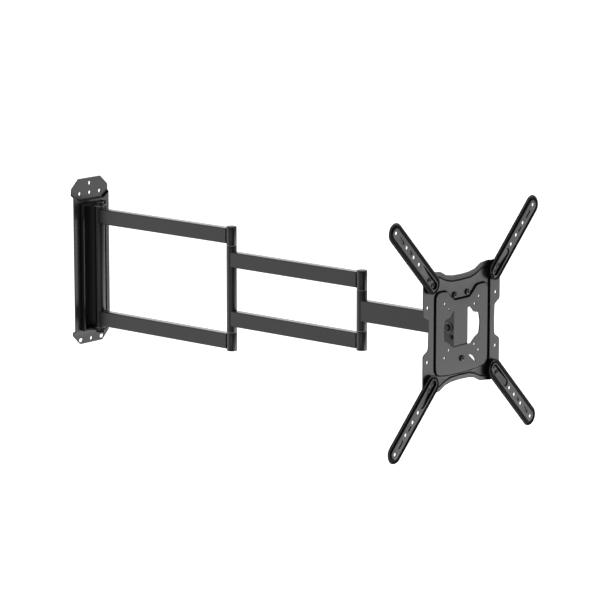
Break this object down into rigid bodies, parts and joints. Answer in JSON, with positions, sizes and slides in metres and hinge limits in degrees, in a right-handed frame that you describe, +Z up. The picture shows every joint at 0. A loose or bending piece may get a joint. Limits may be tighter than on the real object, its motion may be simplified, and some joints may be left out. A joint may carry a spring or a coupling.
{
  "type": "full motion tv wall mount",
  "caption": "Extending television wall mount: a wall bracket, folding tube arms on vertical pivots, and a swivelling, tilting head plate with diagonal adapter arms.",
  "frame": {"origin": "on the wall plate's back, where its middle pad meets the wall, centred across it, at the height of the arms' middle", "axes": "+X along the wall to the right as seen from the room, +Y into the wall, +Z up; at rest the arms point straight out along -Y"},
  "size_m": [0.4362, 0.9467, 0.4362],
  "materials": {
    "black_oxide_steel": "black oxide",
    "black_plastic": "matt black",
    "black_powder_coat": "satin black powder coat",
    "grey_nylon": "natural grey"
  },
  "bodies": {
    "wall_bracket": {"wall_plate": "black_powder_coat", "wall_channel": "black_powder_coat", "upper_lug": "black_powder_coat", "lower_lug": "black_powder_coat", "wall_pivot_bolt": "black_oxide_steel", "wall_pivot_nut": "black_oxide_steel"},
    "arm_1": {"arm1_pivot_tube": "black_powder_coat", "wall_upper_bushing": "grey_nylon", "wall_lower_bushing": "grey_nylon", "arm1_upper_tube": "black_powder_coat", "arm1_lower_tube": "black_powder_coat", "arm1_upper_knuckle": "black_powder_coat", "arm1_lower_knuckle": "black_powder_coat", "elbow1_upper_cap": "black_plastic", "elbow1_lower_cap": "black_plastic", "elbow1_pin": "black_oxide_steel"},
    "arm_2": {"arm2_sleeve": "black_powder_coat", "elbow1_upper_bushing": "grey_nylon", "elbow1_lower_bushing": "grey_nylon", "arm2_upper_tube": "black_powder_coat", "arm2_lower_tube": "black_powder_coat", "arm2_upper_knuckle": "black_powder_coat", "arm2_lower_knuckle": "black_powder_coat", "elbow2_upper_cap": "black_plastic", "elbow2_lower_cap": "black_plastic", "elbow2_pin": "black_oxide_steel"},
    "arm_3": {"arm3_sleeve": "black_powder_coat", "elbow2_upper_bushing": "grey_nylon", "elbow2_lower_bushing": "grey_nylon", "arm3_tube": "black_powder_coat", "arm3_end_knuckle": "black_powder_coat"},
    "swivel_bracket": {"swivel_yoke": "black_powder_coat", "swivel_upper_washer": "grey_nylon", "swivel_lower_washer": "grey_nylon", "swivel_bolt": "black_oxide_steel"},
    "tilt_bracket": {"tilt_bracket": "black_powder_coat", "tilt_left_washer": "grey_nylon", "tilt_right_washer": "grey_nylon", "tilt_bolt": "black_oxide_steel", "tilt_left_guide_screw": "black_oxide_steel", "tilt_right_guide_screw": "black_oxide_steel"},
    "head": {"head_plate": "black_powder_coat", "level_pivot_bolt": "black_oxide_steel", "level_left_bolt": "black_oxide_steel", "level_right_bolt": "black_oxide_steel", "adapter_top_left_inner_screw": "black_oxide_steel", "adapter_top_left_outer_screw": "black_oxide_steel", "adapter_top_right_inner_screw": "black_oxide_steel", "adapter_top_right_outer_screw": "black_oxide_steel", "adapter_bottom_left_inner_screw": "black_oxide_steel", "adapter_bottom_left_outer_screw": "black_oxide_steel", "adapter_bottom_right_inner_screw": "black_oxide_steel", "adapter_bottom_right_outer_screw": "black_oxide_steel", "adapter_top_left_arm": "black_powder_coat", "adapter_top_right_arm": "black_powder_coat", "adapter_bottom_left_arm": "black_powder_coat", "adapter_bottom_right_arm": "black_powder_coat"}
  },
  "joints": [
    {"name": "wall_swing", "type": "hinge", "parent": "wall_bracket", "child": "arm_1", "pos_m": [0, -0.029, 0], "axis": [0, 0, 1], "range_deg": [-90, 90]},
    {"name": "elbow_1", "type": "hinge", "parent": "arm_1", "child": "arm_2", "pos_m": [0, -0.3795, 0], "axis": [0, 0, -1], "range_deg": [-165, 165]},
    {"name": "elbow_2", "type": "hinge", "parent": "arm_2", "child": "arm_3", "pos_m": [0, -0.7035, 0], "axis": [0, 0, 1], "range_deg": [-145, 145]},
    {"name": "head_swivel", "type": "hinge", "parent": "arm_3", "child": "swivel_bracket", "pos_m": [0, -0.897, 0], "axis": [0, 0, -1], "range_deg": [-85, 85]},
    {"name": "head_tilt", "type": "hinge", "parent": "swivel_bracket", "child": "tilt_bracket", "pos_m": [0, -0.923, 0], "axis": [1, 0, 0], "range_deg": [-5, 15]},
    {"name": "head_level", "type": "hinge", "parent": "tilt_bracket", "child": "head", "pos_m": [0, -0.9392, -0.058], "axis": [0, -1, 0], "range_deg": [-3, 3]}
  ]
}
